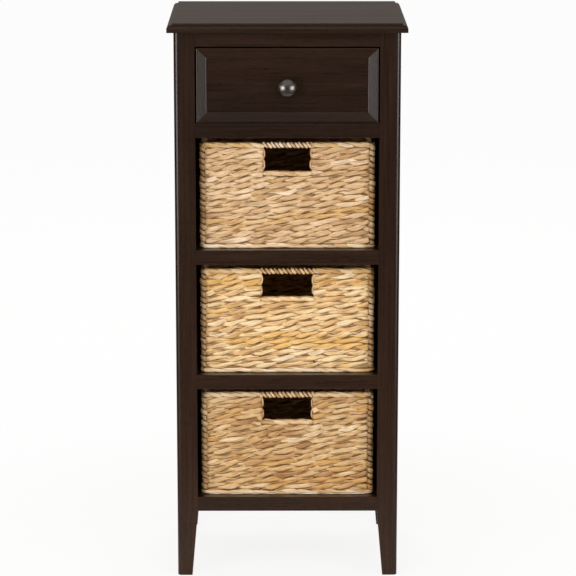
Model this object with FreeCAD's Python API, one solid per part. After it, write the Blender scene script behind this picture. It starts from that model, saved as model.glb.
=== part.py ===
import FreeCAD, Part
import math
import os

# Storage tower: a narrow stained wood stand with a drawer and three woven baskets.
# Millimetres. X runs to the right, Y to the back, Z up, and the floor is Z = 0.
# The origin is on the floor, in the middle of the whole width and of the whole depth.

os.makedirs("parts", exist_ok=True)

Vector = FreeCAD.Vector
right = Vector(1, 0, 0)
back = Vector(0, 1, 0)
up = Vector(0, 0, 1)

# Top board
top_width = 400.0
top_depth = 330.0
top_thickness = 15.0
side_overhang = 11.0
front_overhang = 11.0
rear_overhang = 5.0
edge_round = 6.0
edge_cove = 3.0

# Legs
leg_size = 35.0
foot_size = 25.0
leg_clear = 115.0
leg_round = 7.0

# Heights of the rails and of the bays between them, from the floor up
rail_height = 25.0
basket_bay_height = 191.5
drawer_bay_height = 128.0
top_rail_height = 24.5
basket_names = ("lower", "middle", "upper")

# Rails and their tenons
rail_depth = 20.0
rail_setback = 0.5
rail_round = 1.5
tenon_length = 10.0
tenon_thickness = 10.0
tenon_shoulder = 5.0

# Side panels and back panel
side_panel_thickness = 12.0
side_panel_setback = 6.0
back_panel_thickness = 5.0
back_panel_setback = 8.0
panel_tongue = 4.0

# Runners under the baskets and the drawer, kickers above the drawer sides
runner_height = 18.0
runner_ledge = 19.0
kicker_ledge = 14.0
kicker_play = 1.0

# Drawer
drawer_front_setback = 0.5
drawer_front_thickness = 18.0
drawer_front_play = 2.0
drawer_gap_above = 2.0
drawer_gap_below = 0.5
border_width = 18.5
border_lip = 2.5
border_arris = 2.0
border_quirk = 0.6
bevel_width = 12.5
bevel_drop = 4.0
panel_recess = 7.0
panel_thickness = 6.0
panel_groove = 5.0
drawer_box_play = 4.0
drawer_rear_play = 5.5
drawer_wall = 12.0
drawer_side_drop = 13.5
drawer_box_front_drop = 4.0
drawer_bottom_thickness = 3.0
drawer_bottom_groove = 6.0
drawer_bottom_inset = 5.0

# Knob
knob_radius = 14.8
knob_projection = 26.0
knob_drop = 2.0
knob_base_radius = 8.0
knob_base_height = 2.5
knob_neck_radius = 5.5
knob_neck_height = 8.0
knob_rim_height = 15.0
knob_rim_width = 4.5
knob_screw_radius = 2.0
knob_screw_bite = 12.0
knob_screw_head_radius = 4.5
knob_screw_head_height = 2.8

# Baskets, each woven on a frame of square bar
basket_setback = 20.0
basket_side_play = 6.0
basket_head_room = 9.2
basket_rear_play = 5.0
basket_wall = 10.0
basket_floor = 10.0
basket_corner = 8.0
rim_height = 11.0
rim_lap = 1.0
rim_bevel = 3.0
hole_width = 82.0
hole_height = 38.0
binding_thickness = 1.5
binding_round = 4.0
frame_bar = 3.5
hole_bar_inset = 5.0

# Fits
joint_gap = 0.1
slide_gap = 0.3
bar_gap = 0.3
knob_hole_gap = 0.05
overrun = 1.0

# Levels, worked out from the floor up
bay_pitch = rail_height + basket_bay_height
rail_bottoms = [leg_clear + bay * bay_pitch for bay in range(len(basket_names))]
drawer_rail_z = leg_clear + len(basket_names) * bay_pitch
drawer_bay_z = drawer_rail_z + rail_height
top_rail_z = drawer_bay_z + drawer_bay_height
top_z = top_rail_z + top_rail_height

# Places across and along
body_half = top_width / 2 - side_overhang
inner_half = body_half - leg_size
panel_inner = body_half - side_panel_setback - side_panel_thickness
body_depth = top_depth - front_overhang - rear_overhang
knob_reach = knob_projection - panel_recess - drawer_front_setback
whole_depth = knob_reach + body_depth + rear_overhang
front_y = knob_reach - whole_depth / 2
rear_y = front_y + body_depth
runner_front = front_y + leg_size
runner_rear = rear_y - leg_size

nodes = {}


def block(xs, ys, zs, gap=0):
    """A box between two places along each axis, grown by a gap all round."""
    low = [min(pair) - gap for pair in (xs, ys, zs)]
    high = [max(pair) + gap for pair in (xs, ys, zs)]
    size = [b - a for a, b in zip(low, high)]
    return Part.makeBox(*size, Vector(*low))


def prism(points, direction):
    """A flat outline of straight edges, pushed along a direction."""
    return Part.Face(Part.makePolygon(points + points[:1])).extrude(direction)


def upright_block(xs, ys, zs, radius):
    """A box with its four upright edges rounded."""
    shape = block(xs, ys, zs)
    edges = [e for e in shape.Edges if abs(e.tangentAt(e.FirstParameter).z) > 0.5]
    return shape.makeFillet(radius, edges)


def long_edges(shape, along, at):
    """Edges that run along one axis and whose ends pass a test on their place."""
    found = []
    for edge in shape.Edges:
        step = edge.Vertexes[-1].Point.sub(edge.Vertexes[0].Point)
        if step.Length > 0 and abs(step.dot(along)) > 0.999 * step.Length and at(edge.CenterOfMass):
            found.append(edge)
    return found


def edge_profile(outer, inward, place):
    """Section of the moulded edge: a flat lip, a quarter round, then a cove up to the top."""
    def point(run, rise):
        return place(outer + inward * run, top_z + rise)

    bend_share = 0.5 ** 0.5
    cove_foot = top_thickness - edge_cove
    start = point(0, 0)
    lip_top = point(0, cove_foot - edge_round)
    round_middle = point(edge_round * (1 - bend_share), cove_foot - edge_round * (1 - bend_share))
    round_top = point(edge_round, cove_foot)
    cove_middle = point(edge_round + edge_cove * bend_share, top_thickness - edge_cove * bend_share)
    cove_top = point(edge_round + edge_cove, top_thickness)
    return [
        Part.LineSegment(start, lip_top).toShape(),
        Part.Arc(lip_top, round_middle, round_top).toShape(),
        Part.Arc(round_top, cove_middle, cove_top).toShape(),
    ], start, cove_top


def top_board():
    """The board is where a prism with moulded sides meets a prism with a moulded front."""
    half = top_width / 2
    board_front = front_y - front_overhang
    board_rear = rear_y + rear_overhang

    def across(x, z):
        return Vector(x, board_front, z)

    def along(y, z):
        return Vector(-half, y, z)

    left_edge, left_start, left_top = edge_profile(-half, 1, across)
    right_edge, right_start, right_top = edge_profile(half, -1, across)
    sides = left_edge + right_edge
    sides.append(Part.LineSegment(left_top, right_top).toShape())
    sides.append(Part.LineSegment(right_start, left_start).toShape())
    side_prism = Part.Face(Part.Wire(Part.__sortEdges__(sides))).extrude(back * top_depth)

    front_edge, front_start, front_top = edge_profile(board_front, 1, along)
    rear_top = along(board_rear, top_z + top_thickness)
    rear_start = along(board_rear, top_z)
    section = front_edge
    section.append(Part.LineSegment(front_top, rear_top).toShape())
    section.append(Part.LineSegment(rear_top, rear_start).toShape())
    section.append(Part.LineSegment(rear_start, front_start).toShape())
    front_prism = Part.Face(Part.Wire(Part.__sortEdges__(section))).extrude(right * top_width)
    return side_prism.common(front_prism).removeSplitter()


def leg(side, face_y, inward):
    """A square leg that tapers on its two inner faces, with its outer arris rounded."""
    face_x = side * body_half

    def outline(face, way):
        foot = face + way * foot_size
        full = face + way * leg_size
        return [(face, 0), (foot, 0), (full, leg_clear), (full, top_z), (face, top_z)]

    across = prism(
        [Vector(x, face_y, z) for x, z in outline(face_x, -side)], back * (inward * leg_size)
    )
    along = prism(
        [Vector(face_x, y, z) for y, z in outline(face_y, inward)], right * (-side * leg_size)
    )
    shape = across.common(along).removeSplitter()
    near = leg_round / 2
    outer = long_edges(
        shape, up, lambda c: abs(c.x - face_x) < near and abs(c.y - face_y) < near
    )
    return shape.makeFillet(leg_round, outer)


def tenon(z, height, rail_y, gap=0):
    """The tongue through a rail's whole length, which shows beyond it as two tenons."""
    reach = inner_half + tenon_length
    middle = rail_y + rail_depth / 2
    half = tenon_thickness / 2
    return block(
        (-reach, reach),
        (middle - half, middle + half),
        (z + tenon_shoulder, z + height - tenon_shoulder),
        gap,
    )


def rail(z, height, rail_y, face_y):
    """A rail between two legs, its two long edges in the face plane rounded."""
    bar = block((-inner_half, inner_half), (rail_y, rail_y + rail_depth), (z, z + height))
    near = rail_round / 2
    edges = long_edges(bar, right, lambda c: abs(c.y - face_y) < near)
    bar = bar.makeFillet(rail_round, edges)
    return bar.fuse(tenon(z, height, rail_y)).removeSplitter()


def carcass():
    """Everything that stands still."""
    front_rail_y = front_y + rail_setback
    rear_rail_y = rear_y - rail_setback - rail_depth
    front_rails = {
        "bottom_rail": (rail_bottoms[0], rail_height),
        "lower_rail": (rail_bottoms[1], rail_height),
        "upper_rail": (rail_bottoms[2], rail_height),
        "drawer_rail": (drawer_rail_z, rail_height),
        "top_rail": (top_rail_z, top_rail_height),
    }
    rear_rails = {
        "rear_bottom_rail": (rail_bottoms[0], rail_height),
        "rear_top_rail": (top_rail_z, top_rail_height),
    }

    back_reach = inner_half + panel_tongue
    back_front_y = rear_y - back_panel_setback - back_panel_thickness
    back_place = (
        (-back_reach, back_reach),
        (back_front_y, back_front_y + back_panel_thickness),
        (rail_bottoms[0] + rail_height - panel_tongue, top_rail_z + panel_tongue),
    )
    back_seat = block(*back_place, gap=joint_gap)
    nodes["back_panel"] = block(*back_place)

    for name, (z, height) in front_rails.items():
        nodes[name] = rail(z, height, front_rail_y, front_rail_y)
    for name, (z, height) in rear_rails.items():
        shape = rail(z, height, rear_rail_y, rear_rail_y + rail_depth)
        nodes[name] = shape.cut(back_seat)

    front_mortises = [tenon(z, h, front_rail_y, joint_gap) for z, h in front_rails.values()]
    rear_mortises = [tenon(z, h, rear_rail_y, joint_gap) for z, h in rear_rails.values()]

    kicker_z = top_rail_z - drawer_side_drop + kicker_play
    for word, side in (("left", -1), ("right", 1)):
        panel_place = (
            (side * panel_inner, side * (panel_inner + side_panel_thickness)),
            (runner_front - panel_tongue, runner_rear + panel_tongue),
            (leg_clear, top_z),
        )
        seat = block(*panel_place, gap=joint_gap)
        nodes[f"{word}_side_panel"] = block(*panel_place)
        nodes[f"front_{word}_leg"] = leg(side, front_y, 1).cut(front_mortises + [seat])
        nodes[f"rear_{word}_leg"] = leg(side, rear_y, -1).cut(rear_mortises + [seat, back_seat])

        tops = {name: z + rail_height for name, z in zip(basket_names, rail_bottoms)}
        tops["drawer"] = drawer_bay_z
        inner_x = side * (inner_half - runner_ledge)
        for name, z in tops.items():
            nodes[f"{name}_{word}_runner"] = block(
                (inner_x, side * panel_inner), (runner_front, runner_rear), (z - runner_height, z)
            )

        nodes[f"{word}_kicker"] = block(
            (side * (inner_half - kicker_ledge), side * panel_inner),
            (runner_front, runner_rear),
            (kicker_z, top_z),
        )

    nodes["top_board"] = top_board()


def border_outline():
    """Section of the drawer border, as run inwards from the edge and depth behind the face."""
    arris = border_arris * (1 - 0.5 ** 0.5)
    bevel_foot = border_lip + bevel_width
    bead_run = (border_width + bevel_foot) / 2
    bead_drop = (panel_recess + bevel_drop) / 2
    bead_swell = (panel_recess - bevel_drop) / 6
    groove_run = border_width - panel_groove
    groove_drop = panel_recess + panel_thickness + joint_gap
    corners = [
        (0, drawer_front_thickness),
        (0, border_arris),
        (arris, arris),
        (border_arris, 0),
        (border_lip, 0),
        (border_lip, border_quirk),
        (bevel_foot, bevel_drop),
        (bead_run + bead_swell, bead_drop - bead_swell),
        (border_width, panel_recess),
        (groove_run, panel_recess),
        (groove_run, groove_drop),
        (border_width, groove_drop),
        (border_width, drawer_front_thickness),
    ]
    arc_middles = (2, 7)
    return corners, arc_middles


def border_moulding(corner, along, inward, length):
    """One side of the drawer border, mitred at both ends."""
    corners, arc_middles = border_outline()
    points = [corner + inward * run + back * drop for run, drop in corners]
    edges = []
    for i, point in enumerate(points):
        following = points[(i + 1) % len(points)]
        if i in arc_middles:
            edges.append(Part.Arc(points[i - 1], point, following).toShape())
        elif (i + 1) % len(points) not in arc_middles:
            edges.append(Part.LineSegment(point, following).toShape())
    stick = Part.Face(Part.Wire(edges)).extrude(along * length)
    mitre = prism(
        [
            corner,
            corner + along * length,
            corner + along * (length - border_width) + inward * border_width,
            corner + along * border_width + inward * border_width,
        ],
        back * drawer_front_thickness,
    )
    return stick.common(mitre).removeSplitter()


def knob(centre):
    """A mushroom knob turned about a line to the front; its base sits on the panel."""
    def point(radius, reach):
        return Vector(radius, -reach, 0)

    dome_height = knob_rim_height + knob_rim_width
    rim = point(knob_radius, dome_height)
    cap = knob_projection - dome_height
    dome_radius = (knob_radius ** 2 + cap ** 2) / (2 * cap)
    half_angle = math.asin(knob_radius / dome_radius) / 2
    dome_middle = point(
        dome_radius * math.sin(half_angle),
        knob_projection - dome_radius * (1 - math.cos(half_angle)),
    )
    tip = point(0, knob_projection)
    stem = [
        point(0, 0),
        point(knob_base_radius, 0),
        point(knob_base_radius, knob_base_height),
        point(knob_neck_radius, knob_base_height),
        point(knob_neck_radius, knob_neck_height),
        point(knob_radius, knob_rim_height),
        rim,
    ]
    edges = Part.makePolygon(stem).Edges
    edges.append(Part.Arc(rim, dome_middle, tip).toShape())
    edges.append(Part.LineSegment(tip, stem[0]).toShape())
    shape = Part.Face(Part.Wire(edges)).revolve(Vector(0, 0, 0), back, 360)
    bore = Part.makeCylinder(
        knob_screw_radius + knob_hole_gap, knob_screw_bite + overrun, Vector(0, 0, 0), back * -1
    )
    shape = shape.cut(bore)
    shape.translate(centre)
    return shape


def drawer():
    """The drawer: a framed front screwed to a plain box, and its knob."""
    half = inner_half - drawer_front_play
    low = drawer_bay_z + drawer_gap_below
    high = top_rail_z - drawer_gap_above
    face_y = front_y + drawer_front_setback
    width = 2 * half
    height = high - low
    knob_z = (low + high) / 2 - knob_drop

    mouldings = {
        "bottom": (Vector(-half, face_y, low), right, up, width),
        "top": (Vector(-half, face_y, high), right, up * -1, width),
        "left": (Vector(-half, face_y, low), up, right, height),
        "right": (Vector(half, face_y, low), up, right * -1, height),
    }
    for name, place in mouldings.items():
        nodes[f"drawer_{name}_moulding"] = border_moulding(*place)

    cover = border_width - panel_groove + joint_gap
    panel_y = face_y + panel_recess
    panel = block(
        (-half + cover, half - cover),
        (panel_y, panel_y + panel_thickness),
        (low + cover, high - cover),
    )

    box_y = face_y + drawer_front_thickness
    box_rear = runner_rear - drawer_rear_play
    box_half = inner_half - drawer_box_play
    box_low = drawer_bay_z + slide_gap
    side_top = top_rail_z - drawer_side_drop
    inside = box_half - drawer_wall
    floor_z = box_low + drawer_bottom_inset
    floor_half = inside + drawer_bottom_groove
    floor_place = (
        (-floor_half, floor_half),
        (box_y + drawer_wall - drawer_bottom_groove, box_rear - drawer_wall + drawer_bottom_groove),
        (floor_z, floor_z + drawer_bottom_thickness),
    )
    groove = block(*floor_place, gap=joint_gap)
    nodes["drawer_bottom"] = block(*floor_place)
    for word, side in (("left", -1), ("right", 1)):
        wall = block((side * inside, side * box_half), (box_y, box_rear), (box_low, side_top))
        nodes[f"drawer_{word}_side"] = wall.cut(groove)
    rear_wall = block((-inside, inside), (box_rear - drawer_wall, box_rear), (box_low, side_top))
    nodes["drawer_back"] = rear_wall.cut(groove)
    box_front_y = box_y + drawer_wall
    box_front = block(
        (-inside, inside), (box_y, box_front_y), (box_low, high - drawer_box_front_drop)
    )

    knob_place = Vector(0, panel_y, knob_z)
    nodes["knob"] = knob(knob_place)
    screw_start = Vector(0, box_front_y, knob_z)
    screw_length = box_front_y - panel_y + knob_screw_bite
    head = Part.makeCylinder(
        knob_screw_head_radius, knob_screw_head_height, screw_start, back
    )
    shank = Part.makeCylinder(knob_screw_radius, screw_length, screw_start, back * -1)
    nodes["knob_screw"] = head.fuse(shank).removeSplitter()
    screw_way = Part.makeCylinder(
        knob_screw_radius + knob_hole_gap, screw_length, screw_start, back * -1
    )

    nodes["drawer_front_panel"] = panel.cut(screw_way)
    nodes["drawer_box_front"] = box_front.cut([groove, screw_way])


def frame_bars(half, front, rear, ring_zs, hole_half, hole_z, gap=0):
    """The square bars of a basket's frame, or with a gap the channels that they lie in."""
    near = frame_bar / 2 + gap
    bars = []
    for z in ring_zs:
        level = (z - near, z + near)
        ring = block((-half - near, half + near), (front - near, rear + near), level)
        bars.append(ring.cut(block((near - half, half - near), (front + near, rear - near), level)))
    stake_x = hole_half + hole_bar_inset
    stakes = [(x, y) for x in (-half, half) for y in (front, rear)]
    stakes += [(-stake_x, front), (stake_x, front)]
    for x, y in stakes:
        bars.append(block((x - near, x + near), (y - near, y + near), ring_zs))
    sill_z = hole_z - hole_bar_inset
    bars.append(
        block((-stake_x, stake_x), (front - near, front + near), (sill_z - near, sill_z + near))
    )
    return bars


def basket():
    """The pieces of one basket, with its front at Y = 0 and its floor at Z = 0."""
    half = inner_half - basket_side_play
    depth = rear_y - back_panel_setback - back_panel_thickness - basket_rear_play
    depth -= front_y + basket_setback
    height = basket_bay_height - basket_head_room - slide_gap
    rim_z = height - rim_height
    inset = basket_wall / 2
    hole_half = hole_width / 2
    hole_z = rim_z - hole_height
    ring_zs = (basket_floor / 2, rim_z + rim_height / 2)
    bars = frame_bars(half - inset, inset, depth - inset, ring_zs, hole_half, hole_z)
    channels = frame_bars(half - inset, inset, depth - inset, ring_zs, hole_half, hole_z, bar_gap)
    frame = bars[0].fuse(bars[1:]).removeSplitter()

    outside = upright_block((-half, half), (0, depth), (0, rim_z), basket_corner)
    inner_half_width = half - basket_wall
    hollow = block(
        (-inner_half_width, inner_half_width),
        (basket_wall, depth - basket_wall),
        (basket_floor, rim_z + overrun),
    )
    hand_hole = block(
        (-hole_half, hole_half), (-overrun, basket_wall + overrun), (hole_z, rim_z + overrun)
    )
    weave = outside.cut([hollow, hand_hole] + channels)

    rim = upright_block(
        (-half - rim_lap, half + rim_lap),
        (-rim_lap, depth + rim_lap),
        (rim_z, height),
        basket_corner + rim_lap,
    )
    rim_inner = inner_half_width - rim_lap
    mouth = block(
        (-rim_inner, rim_inner),
        (basket_wall + rim_lap, depth - basket_wall - rim_lap),
        (rim_z - overrun, height + overrun),
    )
    rim = rim.cut(mouth)
    top_edges = [e for e in rim.Edges if abs(e.BoundBox.ZMin - height) < rim_bevel / 4]
    rim = rim.makeChamfer(rim_bevel, top_edges)
    rim = rim.cut(channels)

    skin = rim_lap + binding_thickness
    binding_half = hole_half - bar_gap
    binding = block(
        (-binding_half, binding_half),
        (-skin, basket_wall + skin),
        (rim_z - binding_thickness, height + binding_thickness),
    )
    bound_edges = long_edges(binding, right, lambda c: c.z > height)
    binding = binding.makeFillet(binding_round, bound_edges)
    bound = block(
        (-hole_half, hole_half), (-rim_lap, basket_wall + rim_lap), (rim_z, height), bar_gap
    )
    binding = binding.cut(bound)
    return {"frame": frame, "weave": weave, "rim": rim, "grip": binding}


def baskets():
    """The three baskets, each on the runners of its bay."""
    pieces = basket()
    for name, z in zip(basket_names, rail_bottoms):
        place = Vector(0, front_y + basket_setback, z + rail_height + slide_gap)
        for piece, shape in pieces.items():
            copy = shape.copy()
            copy.translate(place)
            nodes[f"{name}_basket_{piece}"] = copy


carcass()
drawer()
baskets()
for node, shape in nodes.items():
    shape.exportStep(f"parts/{node}.step")
print(len(nodes), "nodes")
print("height", top_z + top_thickness, "width", top_width, "depth", whole_depth)
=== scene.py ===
# %% [markdown]
# # A stained wood storage tower with three woven baskets
# The tower is a narrow stand: four posts, five front rails, a framed drawer and three baskets
# that pull out like drawers. The wood pieces come from the fixed frame with their real shapes
# and only need a finish. The baskets come as plain boxes, so their weave is made here, strand
# by strand, in the place of those boxes. The knob gets its round outline here, and the heads
# of the small screws are added.

# %% Load the frame
import math
import random
import bmesh
import bpy
import numpy as np
from mathutils import Matrix, Vector


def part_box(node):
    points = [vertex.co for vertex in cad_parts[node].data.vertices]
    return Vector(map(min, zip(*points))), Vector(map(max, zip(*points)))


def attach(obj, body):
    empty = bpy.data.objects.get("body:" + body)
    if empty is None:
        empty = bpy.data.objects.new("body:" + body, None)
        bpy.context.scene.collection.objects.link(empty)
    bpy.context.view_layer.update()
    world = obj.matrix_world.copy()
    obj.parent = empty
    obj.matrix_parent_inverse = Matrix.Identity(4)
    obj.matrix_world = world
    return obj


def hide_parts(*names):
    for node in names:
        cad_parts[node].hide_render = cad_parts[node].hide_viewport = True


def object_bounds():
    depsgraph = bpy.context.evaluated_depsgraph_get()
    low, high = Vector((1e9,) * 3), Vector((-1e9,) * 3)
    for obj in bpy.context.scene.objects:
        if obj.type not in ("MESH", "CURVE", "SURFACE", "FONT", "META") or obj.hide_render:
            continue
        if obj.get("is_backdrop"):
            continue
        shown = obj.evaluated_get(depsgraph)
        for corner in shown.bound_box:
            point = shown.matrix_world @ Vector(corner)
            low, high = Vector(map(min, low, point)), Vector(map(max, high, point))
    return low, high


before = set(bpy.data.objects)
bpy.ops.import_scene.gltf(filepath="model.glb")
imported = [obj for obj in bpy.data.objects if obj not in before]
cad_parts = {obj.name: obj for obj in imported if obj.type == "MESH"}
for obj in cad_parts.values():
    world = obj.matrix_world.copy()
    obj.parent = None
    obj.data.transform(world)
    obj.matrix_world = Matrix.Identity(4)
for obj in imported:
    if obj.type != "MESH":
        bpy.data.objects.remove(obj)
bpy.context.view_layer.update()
MM = 0.001
FULL_TURN = 2 * math.pi
QUARTER_TURN = math.pi / 2
FRONTWARD = Vector((0, -1, 0))

# %% [markdown]
# In Blender an object only has a place, and it points to its data, such as a mesh, a curve, a
# lamp or a camera. It shows once it is linked to the scene's collection, and one helper does
# both steps. A second helper turns a finished bmesh, which is an editable mesh, into a mesh.

# %% Objects and meshes
def new_object(name, data):
    """An object that holds the data, linked to the scene."""
    made = bpy.data.objects.new(name, data)
    bpy.context.scene.collection.objects.link(made)
    return made


def mesh_from(bm, name, *materials):
    """A mesh with these materials from a finished bmesh, which is then freed."""
    mesh = bpy.data.meshes.new(name)
    for material in materials:
        mesh.materials.append(material)
    bm.to_mesh(mesh)
    bm.free()
    return mesh


# %% [markdown]
# The camera comes first, because every later choice is judged through it. A long lens far away
# keeps the posts nearly parallel, as a product picture does, and it looks down by about a
# seventh of a right angle, so that the top board shows as a narrow band. The place and the
# angles were fitted to the edges of the posts and rails. Places are in metres.

# %% Camera
lens_mm = 170.3
camera_distance = 4.4938
camera_side = -0.0143
camera_height = 1.5085
pitch_down = math.radians(12.547)
turn_right = math.radians(0.196)

post_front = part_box("front_left_leg")[0].y
camera = new_object("camera", bpy.data.cameras.new("camera"))
camera.data.lens = lens_mm
camera.location = (camera_side, post_front - camera_distance, camera_height)
camera.rotation_euler = (QUARTER_TURN - pitch_down, 0, -turn_right)
bpy.context.scene.camera = camera
print("camera at", [round(v, 3) for v in camera.location])

# %% [markdown]
# Colours are written as the hex values that a picture editor shows, and one function turns
# them to the linear values that shaders use. One small function adds a shader node with its
# settings, links and ramp colours, so that each material below reads as a list of what it is
# made of. Most finishes are a base colour with thin layers over it, such as pores or veins.

# %% Colours and shader nodes
def linear(hex_colour):
    """An sRGB hex colour as linear red, green, blue and alpha."""
    values = [int(hex_colour[i:i + 2], 16) / 255 for i in (1, 3, 5)]
    return [v / 12.92 if v <= 0.04045 else ((v + 0.055) / 1.055) ** 2.4 for v in values] + [1.0]


def add(tree, kind, inputs=None, stops=(), **settings):
    """Adds a shader node; an input is a value, a hex colour or another node's output."""
    made = tree.nodes.new("ShaderNode" + kind)
    for name, value in settings.items():
        setattr(made, name, value)
    for name, value in (inputs or {}).items():
        if isinstance(value, bpy.types.NodeSocket):
            tree.links.new(value, made.inputs[name])
        else:
            made.inputs[name].default_value = linear(value) if isinstance(value, str) else value
    if stops:
        elements = made.color_ramp.elements
        while len(elements) < len(stops):
            elements.new(0.5)
        for element, (place, colour) in zip(elements, stops):
            element.position = place
            element.color = linear(colour)
    return made


def layered(tree, colour, layers):
    """A colour with layers over it; each has a way to mix, a strength and a tint."""
    for way, strength, tint in layers:
        mixed = add(
            tree, "Mix", {"Factor": strength, "A": colour, "B": tint},
            data_type="RGBA", blend_type=way,
        )
        colour = mixed.outputs["Result"]
    return colour


def new_material(name):
    """An empty material and its node tree."""
    material = bpy.data.materials.new(name)
    material.use_nodes = True
    material.node_tree.nodes.clear()
    return material, material.node_tree


print("white is", linear("#ffffff"))

# %% [markdown]
# The stage is a sheet of white paper on a grey studio floor. To the camera all of it is lifted
# towards white, a little less near the feet, where that leaves a soft contact shadow. Other
# rays see the real tones: the paper near the feet throws light up at the lower rails and is
# mirrored in them, and the darker floor farther out keeps the upper wood deep brown.

# %% Floor
floor_size = 30.0
floor_drop = 0.4 * MM
paper_reach = 0.3
floor_reach = 0.9
lift_near, lift_far = 0.86, 0.97

floor_material, tree = new_material("pale_floor")
rays = add(tree, "LightPath").outputs
coordinates = add(tree, "TexCoord").outputs["Object"]
away = add(tree, "VectorMath", {0: coordinates}, operation="LENGTH").outputs["Value"]
over_paper = {"Value": away, "From Min": paper_reach, "From Max": floor_reach}
nearness = add(tree, "MapRange", over_paper)
spread = add(
    tree, "ValToRGB", {"Fac": nearness.outputs["Result"]},
    stops=[(0.0, "#efece8"), (1.0, "#6e6a65")],
)
tone = add(
    tree, "Mix",
    {"Factor": rays["Is Camera Ray"], "A": spread.outputs["Color"], "B": "#f7f6f4"},
    data_type="RGBA",
)
plain = add(tree, "BsdfDiffuse", {"Color": tone.outputs["Result"]})
glow = add(tree, "Emission", {"Color": "#ffffff", "Strength": 1.0})
lift = add(tree, "MapRange", {**over_paper, "To Min": lift_near, "To Max": lift_far})
lifted = add(
    tree, "Math", {0: rays["Is Camera Ray"], 1: lift.outputs["Result"]}, operation="MULTIPLY"
)
mixed = add(tree, "MixShader", {0: lifted.outputs[0], 1: plain.outputs[0], 2: glow.outputs[0]})
add(tree, "OutputMaterial", {"Surface": mixed.outputs[0]})

bm = bmesh.new()
bmesh.ops.create_grid(bm, x_segments=1, y_segments=1, size=floor_size / 2)
floor = new_object("floor", mesh_from(bm, "floor", floor_material))
floor.location = (0, 0, -floor_drop)
floor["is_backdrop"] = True
print("floor", floor_size, "m wide")

# %% [markdown]
# The surround is white to the camera, dimmer and warmer as a light, and between the two in
# reflections, so that metal shows a pale room round it and the dark lacquer doesn't turn grey.

# %% Surround
surround_light = 0.2
surround_mirrored = 0.1

world = bpy.data.worlds.new("surround")
world.use_nodes = True
tree = world.node_tree
tree.nodes.clear()
rays = add(tree, "LightPath").outputs
seen = add(tree, "Background", {"Color": "#ffffff", "Strength": 1.0})
lighting = add(tree, "Background", {"Color": "#f7e2ce", "Strength": surround_light})
mirrored = add(
    tree, "Math", {0: rays["Is Glossy Ray"], 1: rays["Is Transmission Ray"]}, operation="MAXIMUM"
)
partly = add(tree, "Math", {0: mirrored.outputs[0], 1: surround_mirrored}, operation="MULTIPLY")
whiteness = add(
    tree, "Math", {0: rays["Is Camera Ray"], 1: partly.outputs[0]}, operation="MAXIMUM"
)
mixed = add(
    tree, "MixShader", {0: whiteness.outputs[0], 1: lighting.outputs[0], 2: seen.outputs[0]}
)
add(tree, "OutputWorld", {"Surface": mixed.outputs[0]})
bpy.context.scene.world = world
bpy.context.scene.view_settings.view_transform = "Standard"
print("surround light", surround_light)

# %% [markdown]
# Large lamps do the work of a photographer's soft boxes. Two stand left and right of the
# camera, low enough that the top board doesn't mirror them when it is seen from behind. They
# draw the bright line down the rounded arris of each post, the two highlights on the knob and
# the sheen of the upright drawer mouldings. The left one is a little stronger. The key lamp
# above the camera gives the light that falls from the front, so that faces turned down are
# darker, and one behind fills the back. Both are thought of as too wide to be seen in a
# reflection, so glossy rays pass them, and a dim ceiling is mirrored in their place.

# %% Lamps
def soft_box(name, place, target, width, height, power, mirrored=True):
    """A rectangular area lamp that faces a point, and may be left out of reflections."""
    data = bpy.data.lights.new(name, "AREA")
    data.shape = "RECTANGLE"
    data.size = width
    data.size_y = height
    data.energy = power
    lamp = new_object(name, data)
    lamp.location = place
    lamp.rotation_euler = (Vector(target) - Vector(place)).to_track_quat("-Z", "Y").to_euler()
    lamp.visible_camera = False
    lamp.visible_glossy = mirrored


side_lamp_distance = 2.4
side_lamp_height = 0.62
for name, side, degrees, power in (("lamp_left", -1, 44, 33), ("lamp_right", 1, 46, 26)):
    turn = math.radians(degrees)
    x = side * side_lamp_distance * math.sin(turn)
    y = post_front - side_lamp_distance * math.cos(turn)
    soft_box(
        name, place=(x, y, side_lamp_height), target=(0, post_front, side_lamp_height),
        width=1.3, height=1.1, power=power,
    )
soft_box(
    "lamp_key", place=(0, post_front - 2.9, 3.0), target=(0, post_front, 0.4),
    width=3.6, height=1.8, power=56, mirrored=False,
)
soft_box(
    "lamp_ceiling", place=(0, post_front - 1.7, 2.7), target=(0, post_front, 0.5),
    width=4.0, height=2.2, power=12,
)
soft_box(
    "lamp_back", place=(0, post_front + 2.5, 2.7), target=(0, post_front + 0.3, 0.6),
    width=2.6, height=1.4, power=62, mirrored=False,
)

# %% [markdown]
# The posts, rails and boards are a close-grained hardwood with a dark espresso stain under a
# satin lacquer. The stain hides most of the figure: what is left is a slow drift of tone from
# board to board, faint long streaks and fine pores. Real pores are about a third as wide as
# these, which would be too fine to show. The colour is painted a little lighter low down than
# round the drawer: painted light that stands in for light thrown up from the pale floor. The
# grain runs along each piece, so the material is made once for each direction, with the
# pattern stretched along that axis.

# %% Stained wood
DRIFT_WIDTH, DRIFT_LENGTH = 60 * MM, 500 * MM
STREAK_WIDTH, STREAK_LENGTH = 5 * MM, 160 * MM
PORE_WIDTH, PORE_LENGTH = 0.9 * MM, 14 * MM
# heights at which the painted floor light below and the painted shade above are full
PAINTED_LIGHT_BELOW, PAINTED_SHADE_ABOVE = 0.25, 0.8


def grain(tree, along, width, length, detail):
    """Noise that is stretched along one axis, at a real width and length."""
    scale = [1 / width] * 3
    scale[along] = 1 / length
    coordinates = add(tree, "TexCoord").outputs["Object"]
    mapped = add(tree, "Mapping", {"Vector": coordinates, "Scale": scale})
    noise = add(
        tree, "TexNoise", {"Vector": mapped.outputs[0], "Scale": 1.0, "Detail": detail}
    )
    return noise.outputs["Fac"]


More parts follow.
